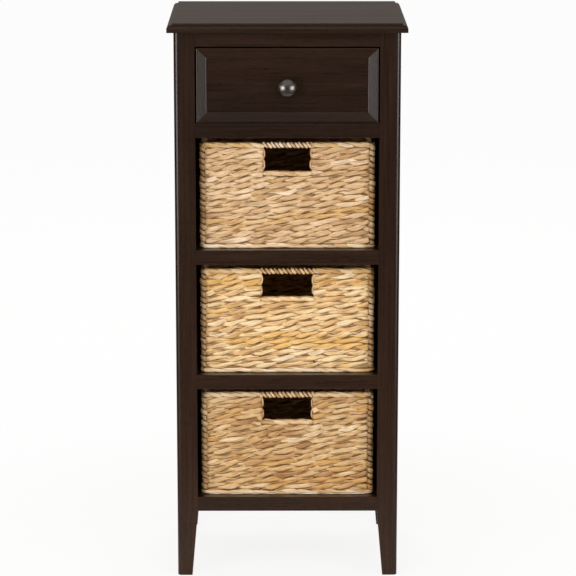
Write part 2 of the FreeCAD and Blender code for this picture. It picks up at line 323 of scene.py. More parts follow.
def stained_wood(name, along):
    """Espresso stain under satin lacquer, with the grain along one axis."""
    material, tree = new_material(name)
    drift = grain(tree, along, DRIFT_WIDTH, DRIFT_LENGTH, 2.0)
    streak = grain(tree, along, STREAK_WIDTH, STREAK_LENGTH, 4.0)
    pores = grain(tree, along, PORE_WIDTH, PORE_LENGTH, 2.0)
    both = add(tree, "Math", {0: drift, 1: streak}, operation="ADD")
    tone = add(tree, "Math", {0: both.outputs[0], 1: 0.5}, operation="MULTIPLY")
    stain = add(
        tree, "ValToRGB", {"Fac": tone.outputs[0]},
        stops=[(0.34, "#26150d"), (0.5, "#2c1a0f"), (0.64, "#332014")],
    )
    dark = add(tree, "ValToRGB", {"Fac": pores}, stops=[(0.3, "#8c8c8c"), (0.44, "#ffffff")])
    # painted light: the colour is lighter low down and darker towards the top, standing in for the
    # floor's bounce light
    place = add(tree, "SeparateXYZ", {0: add(tree, "TexCoord").outputs["Object"]})
    fade = add(
        tree, "ValToRGB", {"Fac": place.outputs["Z"]},
        stops=[(PAINTED_LIGHT_BELOW, "#ffffff"), (PAINTED_SHADE_ABOVE, "#d8d8d8")],
    )
    layers = [("MULTIPLY", 1.0, tint.outputs["Color"]) for tint in (dark, fade)]
    sheen = add(
        tree, "MapRange",
        {"Value": streak, "From Min": 0.3, "From Max": 0.7, "To Min": 0.25, "To Max": 0.33},
    )
    height = add(tree, "Math", {0: pores, 1: streak}, operation="ADD").outputs[0]
    bump = add(tree, "Bump", {"Height": height, "Strength": 0.22, "Distance": 0.1 * MM})
    wood = add(
        tree, "BsdfPrincipled",
        {
            "Base Color": layered(tree, stain.outputs["Color"], layers),
            "Roughness": sheen.outputs["Result"],
            "Normal": bump.outputs["Normal"],
            "Specular IOR Level": 0.36,
        },
    )
    add(tree, "OutputMaterial", {"Surface": wood.outputs[0]})
    return material


stained = [stained_wood(f"espresso_stained_wood_{axis}", i) for i, axis in enumerate("xyz")]
print([m.name for m in stained])

# %% [markdown]
# The drawer box is plain sanded softwood, which such furniture leaves bare inside. It is pale,
# dry and matt, with wide soft growth bands.

# %% Plain inner wood
BAND_WIDTH, BAND_LENGTH = 9 * MM, 420 * MM
WOOD_FIBRE_WIDTH, WOOD_FIBRE_LENGTH = 0.8 * MM, 20 * MM


def plain_wood(name, along):
    """Bare sanded softwood, with the grain along one axis."""
    material, tree = new_material(name)
    band = grain(tree, along, BAND_WIDTH, BAND_LENGTH, 3.0)
    fibre = grain(tree, along, WOOD_FIBRE_WIDTH, WOOD_FIBRE_LENGTH, 2.0)
    base = add(
        tree, "ValToRGB", {"Fac": band},
        stops=[(0.35, "#b98f63"), (0.5, "#cda678"), (0.65, "#d9b98d")],
    ).outputs["Color"]
    fine = add(tree, "ValToRGB", {"Fac": fibre}, stops=[(0.25, "#c9c0b4"), (0.6, "#ffffff")])
    bump = add(tree, "Bump", {"Height": fibre, "Strength": 0.4, "Distance": 0.1 * MM})
    wood = add(
        tree, "BsdfPrincipled",
        {
            "Base Color": layered(tree, base, [("MULTIPLY", 0.6, fine.outputs["Color"])]),
            "Roughness": 0.62,
            "Normal": bump.outputs["Normal"],
        },
    )
    add(tree, "OutputMaterial", {"Surface": wood.outputs[0]})
    return material


plain_woods = [plain_wood(f"sanded_softwood_{axis}", i) for i, axis in enumerate("xyz")]
print([m.name for m in plain_woods])

# %% [markdown]
# The knob is cast metal with a dark satin pewter plating: grey, warm, and polished only enough
# to draw each lamp as a soft patch. The screws are zinc plated steel, and the bars inside the
# baskets are steel with a thin dark paint.

# %% Metals
SMOOTHER, ROUGHER = 0.04, 0.06


def satin_metal(name, light, dark, roughness, speckle, metallic=1.0):
    """A satin metal whose tone and gloss vary a little over the surface."""
    material, tree = new_material(name)
    coordinates = add(tree, "TexCoord").outputs["Object"]
    cloud = add(
        tree, "TexNoise", {"Vector": coordinates, "Scale": 1 / speckle, "Detail": 2.0}
    ).outputs["Fac"]
    tone = add(tree, "ValToRGB", {"Fac": cloud}, stops=[(0.3, dark), (0.7, light)])
    gloss = add(
        tree, "MapRange",
        {"Value": cloud, "From Min": 0.3, "From Max": 0.7,
         "To Min": roughness - SMOOTHER, "To Max": roughness + ROUGHER},
    )
    bump = add(tree, "Bump", {"Height": cloud, "Strength": 0.08, "Distance": 0.03 * MM})
    metal = add(
        tree, "BsdfPrincipled",
        {
            "Base Color": tone.outputs["Color"],
            "Metallic": metallic,
            "Roughness": gloss.outputs["Result"],
            "Normal": bump.outputs["Normal"],
        },
    )
    add(tree, "OutputMaterial", {"Surface": metal.outputs[0]})
    return material


pewter = satin_metal("satin_pewter_plating", "#75706b", "#645f5b", 0.28, 3 * MM)
zinc = satin_metal("zinc_plated_steel", "#b9b7b0", "#9d9b94", 0.38, 1.5 * MM)
bar_paint = satin_metal("brown_painted_bar", "#6f5539", "#5a432c", 0.5, 4 * MM, metallic=0.0)
print(pewter.name, zinc.name, bar_paint.name)

# %% [markdown]
# Each wood node gets the material whose grain runs along its longest side. The node's own box
# gives that side, so a piece that changes its length later still gets the right grain.

# %% Finish the carried-over nodes
inner_nodes = {
    "drawer_left_side", "drawer_right_side", "drawer_back", "drawer_box_front", "drawer_bottom"
}
metal_nodes = {"knob": pewter, "knob_screw": zinc}
for name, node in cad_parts.items():
    low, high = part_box(name)
    spans = list(high - low)
    along = spans.index(max(spans))
    if name in metal_nodes:
        finish = metal_nodes[name]
    elif name.endswith("_frame"):
        finish = bar_paint
    elif name in inner_nodes:
        finish = plain_woods[along]
    else:
        finish = stained[along]
    node.data.materials.clear()
    node.data.materials.append(finish)
print("finished", len(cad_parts), "nodes")

# %% [markdown]
# The baskets are twined from dried water plant stems, cream to straw in colour, with some
# golden and some brown lengths. The colour drifts along each strand, and fine fibres and
# creases run along it. The fibres are drawn a little coarser than real ones, so that they
# show. The strands carry the places for these patterns themselves: an attribute holds the
# distance along the strand, the place across it, and a number for the strand, and a second one
# how near a point is to the strand's edge. Stems from one bundle end up side by side, so the
# golden ones also gather in bands of a few rows. Each strand's edges are painted darker, as
# painted shade where strands tuck under one another.

# %% Patterns on a dried stem
# a pattern's length along the strand, its width across it, its detail, and what sets it apart
stem_patterns = {
    "drift": (160 * MM, 60 * MM, 1.0, 0.0),
    "hue": (320 * MM, 60 * MM, 1.0, 5.3),
    "mottle": (26 * MM, 6 * MM, 3.0, 11.7),
    "fibre": (24 * MM, 0.6 * MM, 3.0, 2.1),
    "crease": (34 * MM, 2.2 * MM, 3.0, 8.9),
}
NEXT_STRAND = 37.0
BUNDLE_LENGTH = 600 * MM
BUNDLE_HEIGHT = 34 * MM
BUNDLE_STRENGTH = 0.9


def stem_noise(tree, strand, length, width, detail, offset):
    """Noise along and across a strand; the strand's number and an offset set it apart."""
    mapped = add(
        tree, "Mapping",
        {"Vector": strand, "Location": (offset, offset, offset),
         "Scale": (1 / length, 1 / width, NEXT_STRAND)},
    )
    return add(
        tree, "TexNoise", {"Vector": mapped.outputs[0], "Scale": 1.0, "Detail": detail}
    ).outputs["Fac"]


def bundle_shift(tree):
    """A value in bands of a few rows, which makes some stems more golden and some less."""
    rows = add(
        tree, "Mapping",
        {"Vector": add(tree, "TexCoord").outputs["Object"],
         "Scale": (1 / BUNDLE_LENGTH, 1 / BUNDLE_LENGTH, 1 / BUNDLE_HEIGHT)},
    )
    band = add(tree, "TexNoise", {"Vector": rows.outputs[0], "Scale": 1.0, "Detail": 0.0})
    return add(
        tree, "MapRange",
        {"Value": band.outputs["Fac"],
         "To Min": -BUNDLE_STRENGTH / 2, "To Max": BUNDLE_STRENGTH / 2},
    ).outputs["Result"]


print(len(stem_patterns), "patterns on each stem")

# %% [markdown]
# The stems' material lays the patterns over one another. The gold and the brown come in where
# their pattern is high, and more of them come in where the amount for that fibre is larger.
# Three veils then multiply the colour: mottling, fine fibres and creases. The creases darken
# where their bump is low, partly the stem's own tone and partly painted shade in the grooves,
# and a last layer paints shade along each strand's edges. Each fibre of the baskets has its
# own four tones, from dark to pale, and its own amounts.

# %% Dried plant fibre
TONE_PLACES = (0.3, 0.42, 0.55, 0.7)
BROWN = "#9c7550"


def plant_fibre(name, tones, gold, golden, brown, mottled):
    """Dried stems: tones from dark to pale, a gold, then how much is gold, brown, mottled."""
    material, tree = new_material(name)
    edge = add(tree, "Attribute", attribute_name="edge").outputs["Fac"]
    strand = add(tree, "Attribute", attribute_name="strand").outputs["Vector"]
    noise = {
        pattern: stem_noise(tree, strand, *sizes) for pattern, sizes in stem_patterns.items()
    }
    hue = add(tree, "Math", {0: noise["hue"], 1: bundle_shift(tree)}, operation="ADD").outputs[0]
    ramps = {
        "base": (noise["drift"], list(zip(TONE_PLACES, tones))),
        "golden": (hue, [(0.68 - golden, "#000000"), (0.76 - golden, "#e8e8e8")]),
        "brown": (noise["mottle"], [(0.72 - brown, "#000000"), (0.86 - brown, "#9a9a9a")]),
        "mottles": (noise["mottle"], [(0.28, "#cdb899"), (0.52, "#ffffff")]),
        "fibres": (noise["fibre"], [(0.28, "#c3b092"), (0.5, "#ffffff")]),
        # creases: darker where the crease noise, and so the bump, is low; partly the stem's tone,
        # partly painted shade
        "creases": (noise["crease"], [(0.28, "#9f835f"), (0.42, "#ffffff")]),
        # painted shade: each strand's edges are darker, where it dives under its neighbours
        "edge_shade": (edge, [(0.68, "#ffffff"), (0.98, "#a98560")]),
    }
    tint = {
        part: add(tree, "ValToRGB", {"Fac": source}, stops=stops).outputs["Color"]
        for part, (source, stops) in ramps.items()
    }
    layers = [
        ("MIX", tint["golden"], gold),
        ("MIX", tint["brown"], BROWN),
        ("MULTIPLY", mottled, tint["mottles"]),
        ("MULTIPLY", 0.75, tint["fibres"]),
        ("MULTIPLY", 0.7, tint["creases"]),
        ("MULTIPLY", 0.9, tint["edge_shade"]),
    ]
    height = add(tree, "Math", {0: noise["crease"], 1: noise["fibre"]}, operation="ADD")
    bump = add(
        tree, "Bump", {"Height": height.outputs[0], "Strength": 0.9, "Distance": 0.6 * MM}
    )
    stem = add(
        tree, "BsdfPrincipled",
        {
            "Base Color": layered(tree, tint["base"], layers),
            "Roughness": 0.62,
            "Normal": bump.outputs["Normal"],
            "Specular IOR Level": 0.35,
        },
    )
    add(tree, "OutputMaterial", {"Surface": stem.outputs[0]})
    return material


weave_fibre = {
    "upper": plant_fibre(
        "pale_water_plant_stem", ("#b98f67", "#d8b486", "#e6c69d", "#f1d9ba"),
        "#dcb06c", golden=0.06, brown=0.14, mottled=0.8,
    ),
    "middle": plant_fibre(
        "golden_water_plant_stem", ("#cc9f68", "#ecc58e", "#f6d9a8", "#fbe9c6"),
        "#e7b96c", golden=0.11, brown=0.1, mottled=0.8,
    ),
    "lower": plant_fibre(
        "brown_water_plant_stem", ("#a97e51", "#cda572", "#e1c08f", "#eed6af"),
        "#d2a362", golden=0.08, brown=0.18, mottled=0.9,
    ),
}
pale_fibre = plant_fibre(
    "pale_twisted_plant_cord", ("#d3ae80", "#e4c499", "#eed3ae", "#f5e2c6"),
    "#e2b877", golden=0.08, brown=0.08, mottled=0.5,
)
bright_fibre = plant_fibre(
    "cream_wound_plant_cord", ("#f0d0a0", "#f9ddb2", "#fde6c2", "#fff0d8"),
    "#f4d096", golden=0.05, brown=0.03, mottled=0.35,
)
# painted shade: the cores are coloured as dark as the shade in the slits that they close
core_painted_shade_fibre = plant_fibre(
    "core_stem_painted_shade_dark", ("#5f452a", "#6f5333", "#80623f", "#93744e"),
    "#6e5029", golden=0.05, brown=0.1, mottled=0.6,
)
# painted shade: a darker stem for the stems in the slits and for the corner windings beside the
# posts
painted_shade_fibre = plant_fibre(
    "shade_darkened_plant_stem", ("#96774f", "#b08f65", "#c6a67b", "#dcc19a"),
    "#bb8c50", golden=0.06, brown=0.2, mottled=0.8,
)
print([m.name for m in weave_fibre.values()])

# %% [markdown]
# A strand is a curve with a flat oval section, because a curve turns its section along a path
# by itself, and takes a width and a tilt at every point. Many strands share one curve object,
# which becomes a mesh in one step. The mesh comes out strand by strand and ring by ring, so
# the attributes for the material can be filled in the same order. A strand's number also moves
# the start of its pattern, by up to three metres.

# %% Strands
SECTION_SIDES = 8
PATTERN_SHIFT = 3.0
section_angles = [FULL_TURN * i / SECTION_SIDES for i in range(SECTION_SIDES)]


def new_strand(points, tone, widths=None, tilts=None, closed=False):
    """One strand: its points, its number from 0 to 1, and a width and a tilt at each point."""
    return {
        "points": points,
        "tone": tone,
        "widths": widths or [1.0] * len(points),
        "tilts": tilts or [0.0] * len(points),
        "closed": closed,
    }


def section_curve(half_width, half_thickness):
    """A closed flat section, its width along the curve's up direction."""
    data = bpy.data.curves.new("section", "CURVE")
    data.dimensions = "2D"
    spline = data.splines.new("POLY")
    spline.points.add(SECTION_SIDES - 1)
    for point, angle in zip(spline.points, section_angles):
        point.co = (half_thickness * math.cos(angle), half_width * math.sin(angle), 0, 1)
    spline.use_cyclic_u = True
    return new_object("section", data)


def strands_to_mesh(strands, section, upright=True):
    """One mesh from many strands; the section is half a width and half a thickness."""
    outline = section_curve(*section)
    data = bpy.data.curves.new("strands", "CURVE")
    data.dimensions = "3D"
    data.twist_mode = "Z_UP" if upright else "MINIMUM"
    data.bevel_mode = "OBJECT"
    data.bevel_object = outline
    sines = [math.sin(angle) for angle in section_angles]
    along, across, tones, edges = [], [], [], []
    for strand in strands:
        points = strand["points"]
        spline = data.splines.new("POLY")
        spline.points.add(len(points) - 1)
        spline.use_cyclic_u = strand["closed"]
        distance = strand["tone"] * PATTERN_SHIFT
        previous = points[0]
        rings = zip(spline.points, points, strand["widths"], strand["tilts"])
        for point, place, width, tilt in rings:
            distance += (place - previous).length
            previous = place
            point.co = (*place, 1)
            point.radius = width
            point.tilt = tilt
            along += [distance] * SECTION_SIDES
            across += [section[0] * sine * width for sine in sines]
            tones += [strand["tone"]] * SECTION_SIDES
            # how near each point of the section is to the strand's edge, where the material paints
            # shade
            edges += [abs(sine) for sine in sines]
    rope = new_object("strands", data)
    depsgraph = bpy.context.evaluated_depsgraph_get()
    mesh = bpy.data.meshes.new_from_object(rope.evaluated_get(depsgraph), depsgraph=depsgraph)
    values = np.stack([along, across, tones], axis=1).astype(np.float32)
    attribute = mesh.attributes.new("strand", "FLOAT_VECTOR", "POINT")
    attribute.data.foreach_set("vector", values.ravel())
    edge = mesh.attributes.new("edge", "FLOAT", "POINT")
    edge.data.foreach_set("value", np.array(edges, dtype=np.float32))
    for used in (rope, outline):
        curve = used.data
        bpy.data.objects.remove(used)
        bpy.data.curves.remove(curve)
    return mesh


print("a strand's section has", SECTION_SIDES, "sides")

# %% [markdown]
# A strand follows a path: a function that gives a place and an outward direction at each
# distance along it. The rows of a wall need a straight one, and the borders need one that goes
# once round the basket, with rounded corners.

# %% Paths
def straight(start, end, outward):
    """A straight path between two places with one outward direction, and its length."""
    way = (end - start).normalized()
    return (lambda s: (start + way * s, outward)), (end - start).length


def loop_path(half_x, half_y, centre, corner):
    """A closed path round a rectangle, from its front left to the right, and its length."""
    quarter = corner * QUARTER_TURN
    sides = [2 * (half_x - corner), 2 * (half_y - corner)] * 2
    length = sum(sides) + 4 * quarter
    starts = [
        Vector((corner - half_x, -half_y, 0)), Vector((half_x, corner - half_y, 0)),
        Vector((half_x - corner, half_y, 0)), Vector((-half_x, half_y - corner, 0)),
    ]

    def at(s):
        s = s % length
        for turns, (start, side) in enumerate(zip(starts, sides)):
            way = Matrix.Rotation(turns * QUARTER_TURN, 3, "Z") @ Vector((1, 0, 0))
            outward = Matrix.Rotation(-QUARTER_TURN, 3, "Z") @ way
            if s <= side:
                return centre + start + way * s, outward
            s -= side
            if s <= quarter:
                turned = Matrix.Rotation(s / corner, 3, "Z") @ outward
                pivot = start + way * side - outward * corner
                return centre + pivot + turned * corner, turned
            s -= quarter
        return centre + starts[0], FRONTWARD

    return at, length


metre_path, metre = straight(Vector((0, 0, 0)), Vector((1, 0, 0)), FRONTWARD)
print("halfway along a straight metre:", list(metre_path(metre / 2)[0]))

# %% [markdown]
# A row is a pair of flat strands twisted round each other, so that a strand shows as a leaning
# leaf shape, dives under its partner and comes up again. The strands swing round the row's
# path: outwards and inwards by one amount, up and down by another, evenly spaced in the turn.
# Seeded random waves make the turns uneven, as hand work is, and each strand gets its own
# width, tilt and tone.

# %% A twisted row
# how far something wanders, then the shortest and the longest wave in which it does
ROW_TURNS = (0.55, 90 * MM, 170 * MM)
ROW_RISES = (0.7 * MM, 60 * MM, 130 * MM)
STRAND_TURNS = (0.25, 40 * MM, 90 * MM)
STRAND_WIDTHS = (0.3, 30 * MM, 80 * MM)
STRAND_TILTS = (0.3, 35 * MM, 80 * MM)
STRAND_RISES = (0.9 * MM, 30 * MM, 80 * MM)
WIDTH_SPREAD = 0.12
SEAM_FADE = 60 * MM
STEP = 5.0 * MM


def wander(rng, wave, share=1.0):
    """A smooth irregular wave along a distance, from two sines of random length."""
    reach, shortest, longest = wave
    sines = [(rng.uniform(shortest, longest), rng.uniform(0, FULL_TURN)) for _ in range(2)]

    def at(s):
        total = sum(math.sin(FULL_TURN * s / length + turn) for length, turn in sines)
        return reach * share * total / 2

    return at


def twist(rng, path, length, lay, start_turn, plies, swing, lean=1, narrow=0.72, uneven=1.0,
          closed=False, shrink=None, step=STEP):
    """Strands that twist round a path; lean 1 rises to the right on the outside, -1 falls."""
    swing_out, swing_up = swing
    turns = wander(rng, ROW_TURNS, uneven)
    rises = wander(rng, ROW_RISES, uneven)
    count = max(int(round(length / step)), 2)
    strands = []
    for ply in range(plies):
        own_turn = wander(rng, STRAND_TURNS, uneven)
        own_width = wander(rng, STRAND_WIDTHS, uneven)
        own_tilt = wander(rng, STRAND_TILTS, uneven)
        own_rise = wander(rng, STRAND_RISES, uneven)
        base_width = 1 + rng.uniform(-WIDTH_SPREAD, WIDTH_SPREAD) * uneven
        points, widths, tilts = [], [], []
        for i in range(count if closed else count + 1):
            s = length * i / count
            place, outward = path(s)
            # a closed strand wanders less near its seam, so that its two ends meet
            fade = min(1.0, s / SEAM_FADE, (length - s) / SEAM_FADE) if closed else 1.0
            small = shrink(s) if shrink else 1.0
            angle = FULL_TURN * (s / lay + ply / plies) + start_turn
            angle += fade * (turns(s) + own_turn(s))
            out = swing_out * math.cos(angle) * small
            rise = lean * swing_up * math.sin(angle) * small
            rise += fade * (rises(s) + own_rise(s)) * small
            points.append(place + outward * out + Vector((0, 0, rise)))
            flatness = narrow + (1 - narrow) * abs(math.cos(angle))
            widths.append(flatness * (base_width + own_width(s) * fade) * small)
            tilts.append(own_tilt(s) * fade)
        strands.append(new_strand(points, rng.random(), widths, tilts, closed))
    return strands


print("a point on a strand every", STEP / MM, "mm")

# %% [markdown]
# One basket is sixteen twisted rows on each side between a wrapped base and a wrapped rim,
# a wound strand up each corner, and a floor of the same rows. The front has a hand hole: four
# rows stop beside it in small loops, a wrapped row runs under it, and a thin cord is wound
# tightly round the rim above it. The outer sizes are read from the plain boxes that the weave
# replaces, and the sizes here are those that all parts of a basket share.

# %% Sizes of a basket
WALL = 10 * MM
WALL_MIDDLE = 4.0 * MM
COLUMN = 12 * MM
BASE_HEIGHT = 8.5 * MM
HOLE_HEIGHT = 38 * MM
HOLE_HALF_WIDTHS = {"upper": 39.5 * MM, "middle": 43.5 * MM, "lower": 42.5 * MM}
LAY = 68 * MM
print("hand holes", [round(2 * half / MM) for half in HOLE_HALF_WIDTHS.values()], "mm wide")

# %% [markdown]
# A wall row's two strands are flat and nearly as wide as the row is high, so that each shows
# as a long leaf with pointed ends. Rows beside each other are shifted by half a leaf. The front
# rows stop short of the hand hole, and swell a little in front of the two bars by it. A thin
# plain stem lies in the slit below each row, inside the wall, so that no light comes through,
# and it is coloured darker, as painted shade in the slit.

# %% Rows of the walls
FRONT = 0
ROWS_BELOW_HOLE = 12
ROWS_BESIDE_HOLE = 4
ROW_TUCK = 2 * MM
GAP_BELOW_HOLE = 2 * MM
GAP_BESIDE_HOLE = 1 * MM
BAR_PLACE = 46 * MM
BAR_REACH = 9 * MM
BAR_SWELL = 2.0 * MM
TURN_SPREAD = 0.8
LAY_SPREAD = (0.85, 1.2)
WALL_ROW = {"plies": 2, "swing": (2.5 * MM, 2.9 * MM), "narrow": 0.66}
ROW_SECTION = (4.95 * MM, 1.5 * MM)
STEM_SECTION = (1.9 * MM, 0.5 * MM)
STEM_STEP = 26 * MM


def past_bars(path, start):
    """The path of a front row, which swells a little in front of the two bars by the hole."""
    def at(s):
        place, outward = path(s)
        near = min(abs(abs(start + s) - BAR_PLACE) / BAR_REACH, 1.0)
        return place + outward * BAR_SWELL * (1 + math.cos(math.pi * near)) / 2, outward

    return at


def stretches(side, row, end, hole_half):
    """Where a row runs: across the wall, or from both sides to the hand hole."""
    if side != FRONT or row < ROWS_BELOW_HOLE - 1:
        return [(-end, end)]
    gap = GAP_BELOW_HOLE if row < ROWS_BELOW_HOLE else GAP_BESIDE_HOLE
    return [(-end, -hole_half - gap), (hole_half + gap, end)]


def wall_rows(rng, middle, half_x, half_y, low_z, hole_z, hole_half):
    """The twisted rows of the four walls and their inner stems, cut short at the hand hole."""
    below = (hole_z - low_z - BASE_HEIGHT) / ROWS_BELOW_HOLE
    beside = HOLE_HEIGHT / ROWS_BESIDE_HOLE
    levels = [low_z + BASE_HEIGHT + below * (i + 0.5) for i in range(ROWS_BELOW_HOLE)]
    levels += [hole_z + beside * (i + 0.5) for i in range(ROWS_BESIDE_HOLE)]
    slit = Vector((0, 0, below / 2))
    strands, stems = [], []
    for side in range(4):
        turned = Matrix.Rotation(side * QUARTER_TURN, 3, "Z")
        outward = turned @ FRONTWARD
        way = turned @ Vector((1, 0, 0))
        reach, depth = (half_x, half_y) if side % 2 == 0 else (half_y, half_x)
        end = reach - COLUMN + ROW_TUCK
        base_turn = rng.uniform(0, FULL_TURN)
        for row, z in enumerate(levels):
            row_turn = base_turn + row * QUARTER_TURN + rng.uniform(-TURN_SPREAD, TURN_SPREAD)
            lay = LAY * rng.uniform(*LAY_SPREAD)
            row_middle = middle + outward * (depth - WALL_MIDDLE) + Vector((0, 0, z))
            for start, stop in stretches(side, row, end, hole_half):
                path, length = straight(row_middle + way * start, row_middle + way * stop, outward)
                if side == FRONT:
                    path = past_bars(path, start)
                start_turn = row_turn + FULL_TURN * (start + end) / lay
                strands += twist(rng, path, length, lay, start_turn, **WALL_ROW)
                spans = int(length / STEM_STEP)
                points = [path(length * i / spans)[0] - slit for i in range(spans + 1)]
                stems.append(new_strand(points, row / len(levels)))
    return strands, stems


print(ROWS_BELOW_HOLE + ROWS_BESIDE_HOLE, "rows to a wall")

# %% [markdown]
# The base and the rim are wrapped: three strands twist round a path that goes once round the
# basket, the other way from the rows. The base is laid more loosely and more unevenly than the
# rim. Over the hand hole the rim is thin, because the wound cord covers it there.

# %% Base and rim
BORDER_CORNER = 5 * MM
BORDER = {"plies": 3, "swing": (2.8 * MM, 1.9 * MM), "lean": -1, "narrow": 0.68, "closed": True}
BORDER_SECTION = (4.7 * MM, 1.8 * MM)
BASE_DROP = 1.4 * MM
BASE_INSET = 2.7 * MM
BASE_LAY = 84 * MM
BASE_SHARE = 0.78
BASE_UNEVEN = 1.3
RIM_LAY = 62 * MM
RIM_SHARE = 0.9
RIM_UNEVEN = 0.6
RIM_THINNING = 0.7
RIM_TAPER = 4 * MM


def border(rng, centre, half_x, half_y, lay, uneven, shrink):
    """One wrapped border that goes once round, in a whole number of turns."""
    path, length = loop_path(half_x, half_y, centre, BORDER_CORNER)
    lay = length / round(length / lay)
    return twist(
        rng, path, length, lay, rng.uniform(0, FULL_TURN), uneven=uneven, shrink=shrink, **BORDER
    )


def base_and_rim(rng, middle, half_x, half_y, low_z, rim_z, grip_half):
    """The wrapped base border and the wrapped rim."""
    base_middle = middle + Vector((0, 0, low_z + BASE_HEIGHT / 2 - BASE_DROP))
    base_x, base_y = half_x - BASE_INSET, half_y - BASE_INSET
    rim_middle = middle + Vector((0, 0, rim_z))
    rim_x, rim_y = half_x - WALL_MIDDLE, half_y - WALL_MIDDLE
    cord_left = rim_x - BORDER_CORNER - grip_half
    cord_right = cord_left + 2 * grip_half

    def base_size(s):
        return BASE_SHARE

    def rim_size(s):
        inside = min(s - cord_left, cord_right - s) / RIM_TAPER
        return RIM_SHARE * (1 - RIM_THINNING * min(max(inside, 0.0), 1.0))

    base = border(rng, base_middle, base_x, base_y, BASE_LAY, BASE_UNEVEN, base_size)
    rim = border(rng, rim_middle, rim_x, rim_y, RIM_LAY, RIM_UNEVEN, rim_size)
    return base + rim


print("the rim is laid in turns of about", round(RIM_LAY / MM), "mm")

# %% [markdown]
# Three small things finish the hand hole. A short wrapped row is its sill, and tucks its
# pointed ends in between the rows. Beside the hole, strand ends turn back in loops. Over it, a
# thin cord is wound round the rim as a helix, pushed sideways a little so that its turns lean.

# %% Hand hole
SILL_HEIGHT = 8.4 * MM
SILL_DROP = 1.6 * MM
SILL_PAST_HOLE = 9 * MM
SILL_TAPER = 12 * MM
SILL_TIP = 0.25
SILL = {"plies": 3, "swing": (2.7 * MM, 1.4 * MM), "lean": -1, "narrow": 0.7, "uneven": 0.5}
SILL_SECTION = (4.3 * MM, 1.7 * MM)

LOOP_STEPS = 14
LOOP_HEIGHT = 17 * MM
LOOP_FOOT = 1 * MM
LOOP_PITCH = 19 * MM
LOOP_SPREAD = 1 * MM
LOOP_BULGE = 1.4 * MM
LOOP_LENGTH = 6 * MM
LOOP_DEPTH = 2.5 * MM
LOOP_FULLNESS = 0.4
LOOP_SECTION = (1.4 * MM, 1.2 * MM)

CORD_TURNS = 13
CORD_STEPS = 16
CORD_OUT, CORD_UP = 3.5 * MM, 3.2 * MM
CORD_SKEW = 1.3 * MM
CORD_WIDTHS = (0.12, 6 * MM, 15 * MM)
CORD_SECTION = (2.8 * MM, 1.8 * MM)


def hole_sill(rng, centre, hole_half):
    """The short wrapped row under the hand hole, whose ends tuck in between the rows."""
    reach = Vector((hole_half + SILL_PAST_HOLE, 0, 0))
    path, length = straight(centre - reach, centre + reach, FRONTWARD)

    def pointed(s):
        return SILL_TIP + (1 - SILL_TIP) * min(1.0, s / SILL_TAPER, (length - s) / SILL_TAPER)

    return twist(
        rng, path, length, RIM_LAY, rng.uniform(0, FULL_TURN), shrink=pointed, **SILL
    )


def hole_loops(rng, centre, hole_half):
    """Strand ends that turn back beside the hand hole, two on each side."""
    strands = []
    for side in (-1, 1):
        for level in (0, 1):
            low = LOOP_FOOT + level * LOOP_PITCH + rng.uniform(-1, 1) * LOOP_SPREAD
            high = low + LOOP_HEIGHT + rng.uniform(-1, 1) * LOOP_SPREAD
            reach = LOOP_LENGTH + rng.uniform(0, LOOP_BULGE)
            points = []
            for i in range(LOOP_STEPS + 1):
                angle = math.pi * (i / LOOP_STEPS - 0.5)
                x = hole_half + LOOP_LENGTH - reach * max(math.cos(angle), 0) ** LOOP_FULLNESS
                y = LOOP_DEPTH * (1 - math.cos(angle))
                z = (low + high) / 2 + (high - low) / 2 * math.sin(angle)
                points.append(centre + Vector((side * x, y, z)))
            strands.append(new_strand(points, rng.random()))
    return strands


def wound_cord(rng, centre, grip_half):
    """A thin cord wound tightly round the rim over the hand hole."""
    own_width = wander(rng, CORD_WIDTHS)
    count = CORD_TURNS * CORD_STEPS
    points, widths = [], []
    for i in range(count + 1):
        along = i / count
        angle = FULL_TURN * along * CORD_TURNS
        x = grip_half * (2 * along - 1) + CORD_SKEW * math.sin(angle)
        y, z = -CORD_OUT * math.cos(angle), -CORD_UP * math.sin(angle)
        points.append(centre + Vector((x, y, z)))
        widths.append(1 + own_width(x))
    return new_strand(points, rng.random(), widths)


print(CORD_TURNS, "turns of cord over a hand hole")

# %% [markdown]
# At a corner the rows' strands wrap round an upright, which the eye reads as a stack of bumps,
# one to each row, with slits that fall to the right. One helix makes them, in a stem colour
# darkened as painted shade, round a core that closes the slits and is painted as dark as the
# shade in them. The floor is made of the same twisted rows as the walls, but its strands lie
# wide and flat.

# %% Corners and floor
CORNER_PITCH = 10.2 * MM
CORNER_STEPS = 12
CORNER_RADIUS = 3.9 * MM
CORNER_BULGES = (0.9 * MM, 15 * MM, 40 * MM)
CORNER_WIDTHS = (0.22, 9 * MM, 25 * MM)
CORNER_SECTION = (4.4 * MM, 2.1 * MM)
CORE_STEPS = 12
CORE_SECTION = (3.0 * MM, 3.0 * MM)

FLOOR_PITCH = 11 * MM
FLOOR_TUCK = 4 * MM
FLOOR_LAY_SPREAD = (0.9, 1.1)
FLOOR_ROW = {"plies": 2, "swing": (2.6 * MM, 2.2 * MM), "step": 8 * MM}
FLOOR_SECTION = (2.0 * MM, 4.6 * MM)


def corner_winding(rng, centre, bottom, top):
    """A flat strand wound round an upright line, one bump to each row."""
    count = int((top - bottom) / CORNER_PITCH * CORNER_STEPS)
    turn = rng.uniform(0, FULL_TURN)
    tone = rng.random()
    bulge = wander(rng, CORNER_BULGES)
    own_width = wander(rng, CORNER_WIDTHS)
    points, widths = [], []
    for i in range(count + 1):
        z = bottom + (top - bottom) * i / count
        angle = turn - FULL_TURN * (z - bottom) / CORNER_PITCH
        out = CORNER_RADIUS + bulge(z)
        points.append(centre + Vector((out * math.cos(angle), out * math.sin(angle), z)))
        widths.append(1 + own_width(z))
    return new_strand(points, tone, widths)


